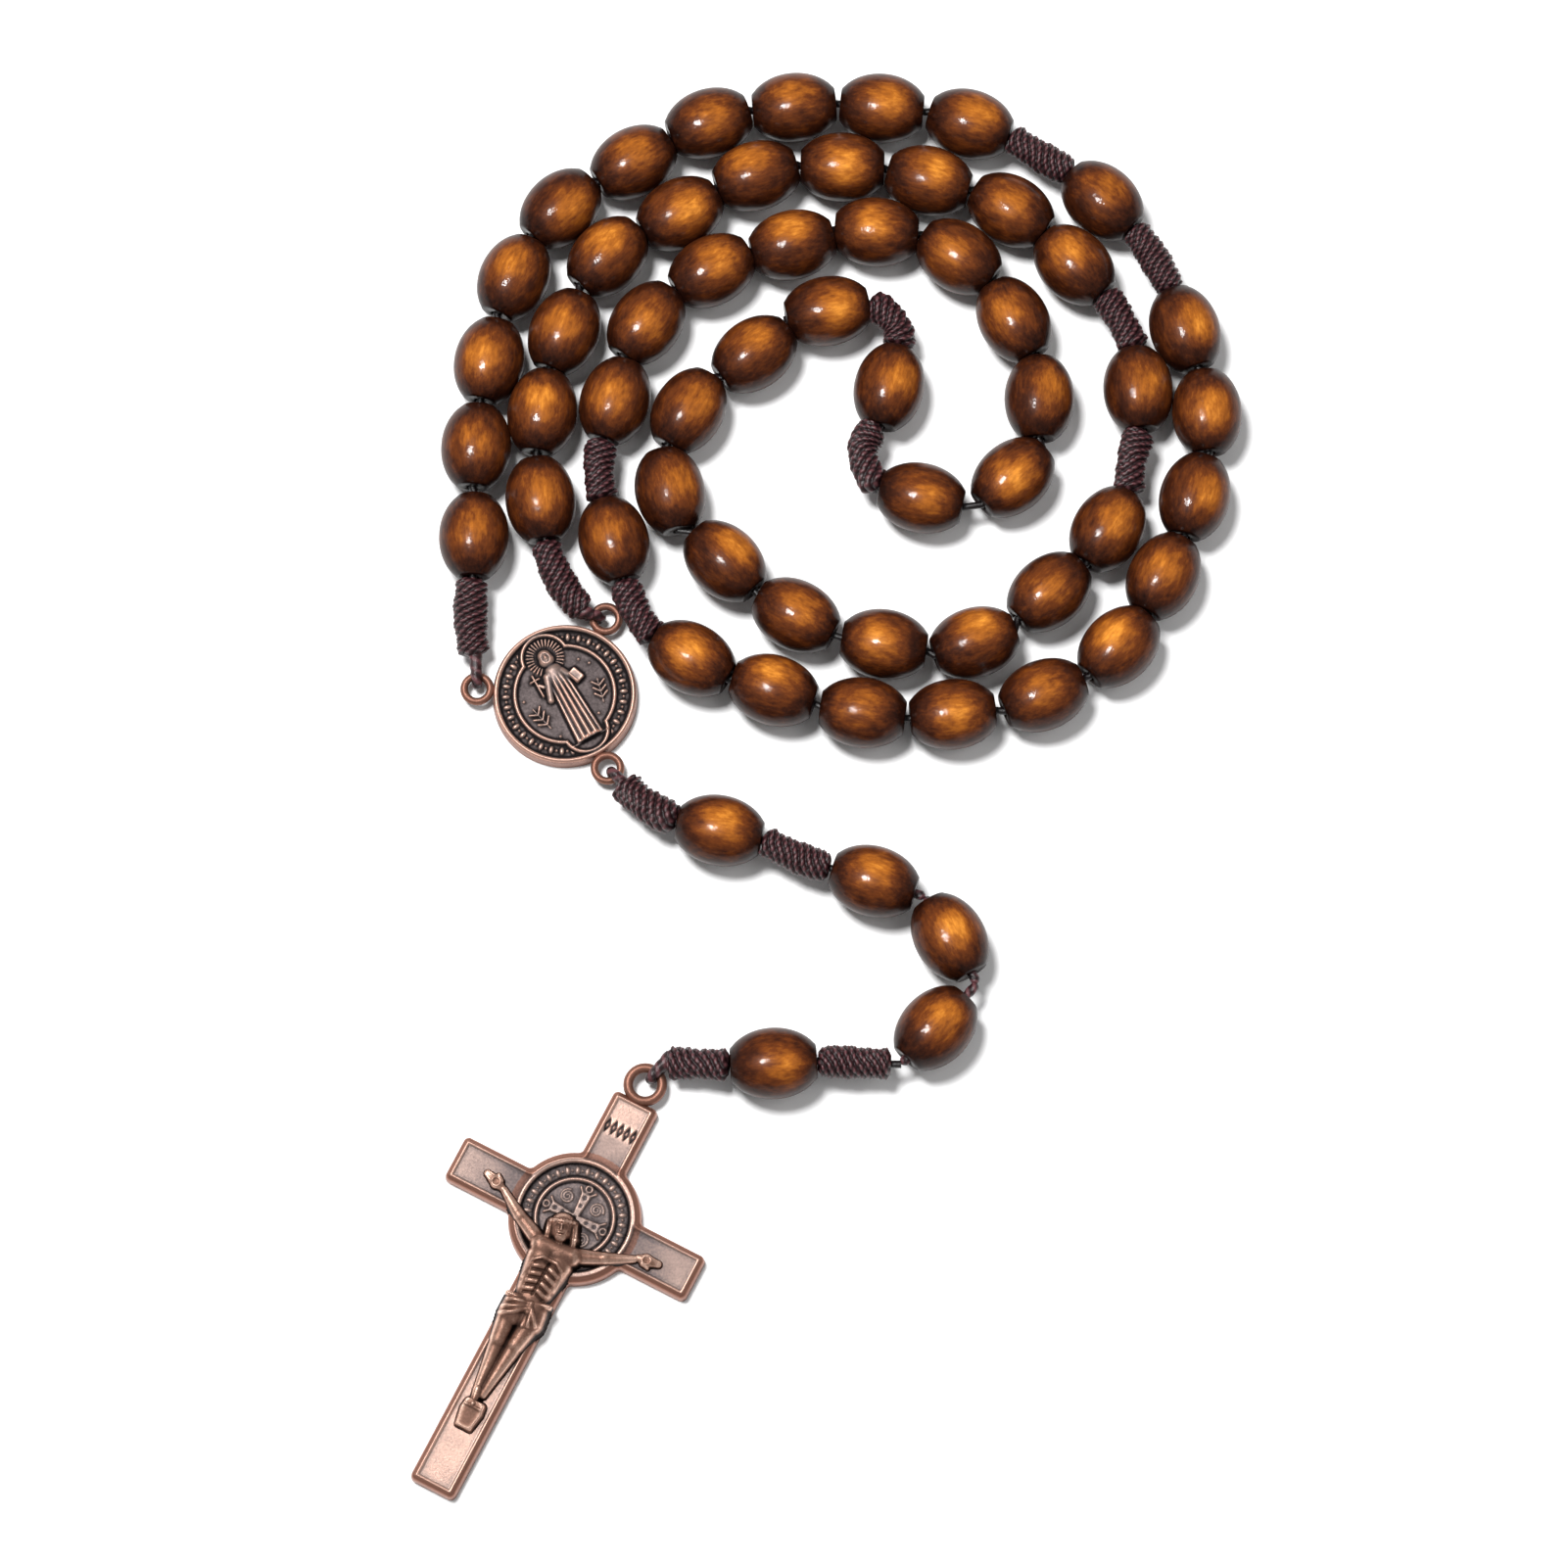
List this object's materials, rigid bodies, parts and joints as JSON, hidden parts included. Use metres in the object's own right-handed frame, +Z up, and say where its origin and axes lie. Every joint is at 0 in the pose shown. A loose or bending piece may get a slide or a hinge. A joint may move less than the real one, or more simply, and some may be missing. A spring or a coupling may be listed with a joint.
{
  "type": "rosary",
  "caption": "Wooden-bead rosary laid flat: a coiled loop of beads knotted on cord, a round copper medal, a short pendant strand and a crucifix.",
  "frame": {"origin": "on the surface that the rosary lies on, under the middle of its whole outline", "axes": "+Z up off the table, +Y from the crucifix towards the coiled loop, +X to the right seen from above"},
  "size_m": [0.0956, 0.169, 0.008],
  "materials": {
    "bead_wood": "turned hardwood, dark amber-brown stain under gloss lacquer",
    "cord_nylon": "waxed nylon cord, dark burgundy brown, satin",
    "antique_copper": "cast zinc alloy plated in antique copper, dark patina in the recesses, bright worn edges"
  },
  "bodies": {
    "root": {"decade_1_beads_1_2": "bead_wood", "decade_1_beads_3_4": "bead_wood", "decade_1_beads_5_6": "bead_wood", "decade_1_beads_7_8": "bead_wood", "decade_1_beads_9_10": "bead_wood", "decade_2_beads_1_2": "bead_wood", "decade_2_beads_3_4": "bead_wood", "decade_2_beads_5_6": "bead_wood", "decade_2_beads_7_8": "bead_wood", "decade_2_beads_9_10": "bead_wood", "decade_3_beads_1_2": "bead_wood", "decade_3_beads_3_4": "bead_wood", "decade_3_beads_5_6": "bead_wood", "decade_3_beads_7_8": "bead_wood", "decade_3_beads_9_10": "bead_wood", "decade_4_beads_1_2": "bead_wood", "decade_4_beads_3_4": "bead_wood", "decade_4_beads_5_6": "bead_wood", "decade_4_beads_7_8": "bead_wood", "decade_4_beads_9_10": "bead_wood", "decade_5_beads_1_2": "bead_wood", "decade_5_beads_3_4": "bead_wood", "decade_5_beads_5_6": "bead_wood", "decade_5_beads_7_8": "bead_wood", "decade_5_beads_9_10": "bead_wood", "divider_cord_1": "cord_nylon", "divider_cord_2": "cord_nylon", "divider_cord_3": "cord_nylon", "divider_cord_4": "cord_nylon", "left_ring_cord": "cord_nylon", "right_ring_cord": "cord_nylon"},
    "medal": {"medal": "antique_copper"},
    "pendant_lead": {"pendant_cord_1": "cord_nylon"},
    "pendant_link_1": {"pendant_cord_2": "cord_nylon"},
    "pendant_link_2": {"pendant_cord_3": "cord_nylon"},
    "pendant_link_3": {"pendant_cord_4": "cord_nylon"},
    "pendant_tail": {"pendant_cord_5": "cord_nylon"},
    "crucifix_lead": {"crucifix_cord": "cord_nylon"},
    "crucifix_body": {"crucifix": "antique_copper", "corpus": "antique_copper"},
    "divider_bead_1_body": {"divider_bead_1": "bead_wood"},
    "divider_bead_2_body": {"divider_bead_2": "bead_wood"},
    "divider_bead_3_body": {"divider_bead_3": "bead_wood"},
    "divider_bead_4_body": {"divider_bead_4": "bead_wood"},
    "pendant_bead_1_body": {"pendant_bead_1": "bead_wood"},
    "pendant_bead_2_body": {"pendant_bead_2": "bead_wood"},
    "pendant_bead_3_body": {"pendant_bead_3": "bead_wood"},
    "pendant_bead_4_body": {"pendant_bead_4": "bead_wood"},
    "pendant_bead_5_body": {"pendant_bead_5": "bead_wood"}
  },
  "joints": [
    {"name": "medal_lift", "type": "hinge", "parent": "root", "child": "medal", "pos_m": [-0.0412, 0.01143, 0.00155], "axis": [-0.8804, -0.4742, 0], "range_deg": [0, 15]},
    {"name": "pendant_swing", "type": "hinge", "parent": "medal", "child": "pendant_lead", "pos_m": [-0.02493, -0.00062, 0.00155], "axis": [0, 0, 1], "range_deg": [-32, 8]},
    {"name": "pendant_bend_1", "type": "hinge", "parent": "pendant_lead", "child": "pendant_link_1", "pos_m": [-0.00005, -0.01205, 0.004], "axis": [0, 0, 1], "range_deg": [-8, 8]},
    {"name": "pendant_bend_2", "type": "hinge", "parent": "pendant_link_1", "child": "pendant_link_2", "pos_m": [0.01074, -0.01535, 0.004], "axis": [0, 0, 1], "range_deg": [-3, 40]},
    {"name": "pendant_bend_3", "type": "hinge", "parent": "pendant_link_2", "child": "pendant_link_3", "pos_m": [0.01663, -0.02555, 0.004], "axis": [0, 0, 1], "range_deg": [-3, 65]},
    {"name": "pendant_bend_4", "type": "hinge", "parent": "pendant_link_3", "child": "pendant_tail", "pos_m": [0.00786, -0.03495, 0.004], "axis": [0, 0, 1], "range_deg": [-3, 42]},
    {"name": "crucifix_swing", "type": "hinge", "parent": "pendant_tail", "child": "crucifix_lead", "pos_m": [-0.01177, -0.0351, 0.004], "axis": [0, 0, 1], "range_deg": [-8, 8]},
    {"name": "crucifix_lift", "type": "hinge", "parent": "crucifix_lead", "child": "crucifix_body", "pos_m": [-0.02007, -0.03547, 0.0017], "axis": [-0.7321, 0.6812, 0], "range_deg": [0, 60]},
    {"name": "divider_bead_1_spin", "type": "hinge", "parent": "root", "child": "divider_bead_1_body", "pos_m": [0.0321, 0.06897, 0.004], "axis": [0.7217, -0.6922, 0], "continuous": true},
    {"name": "divider_bead_2_spin", "type": "hinge", "parent": "root", "child": "divider_bead_2_body", "pos_m": [-0.0253, 0.02717, 0.004], "axis": [-0.2509, 0.968, 0], "continuous": true},
    {"name": "divider_bead_3_spin", "type": "hinge", "parent": "root", "child": "divider_bead_3_body", "pos_m": [0.0068, 0.04587, 0.004], "axis": [0.2286, 0.9735, 0], "continuous": true},
    {"name": "divider_bead_4_spin", "type": "hinge", "parent": "root", "child": "divider_bead_4_body", "pos_m": [0.036, 0.04557, 0.004], "axis": [-0.0642, 0.9979, 0], "continuous": true},
    {"name": "pendant_bead_1_spin", "type": "hinge", "parent": "pendant_lead", "child": "pendant_bead_1_body", "pos_m": [-0.0129, -0.00753, 0.004], "axis": [0.9781, -0.2079, 0], "continuous": true},
    {"name": "pendant_bead_2_spin", "type": "hinge", "parent": "pendant_link_1", "child": "pendant_bead_2_body", "pos_m": [0.0048, -0.01353, 0.004], "axis": [0.9563, -0.2924, 0], "continuous": true},
    {"name": "pendant_bead_3_spin", "type": "hinge", "parent": "pendant_link_2", "child": "pendant_bead_3_body", "pos_m": [0.0135, -0.02013, 0.004], "axis": [0.5, -0.866, 0], "continuous": true},
    {"name": "pendant_bead_4_spin", "type": "hinge", "parent": "pendant_link_3", "child": "pendant_bead_4_body", "pos_m": [0.0118, -0.03073, 0.004], "axis": [-0.682, -0.7314, 0], "continuous": true},
    {"name": "pendant_bead_5_spin", "type": "hinge", "parent": "pendant_tail", "child": "pendant_bead_5_body", "pos_m": [-0.0067, -0.03483, 0.004], "axis": [-0.9986, -0.0523, 0], "continuous": true}
  ]
}
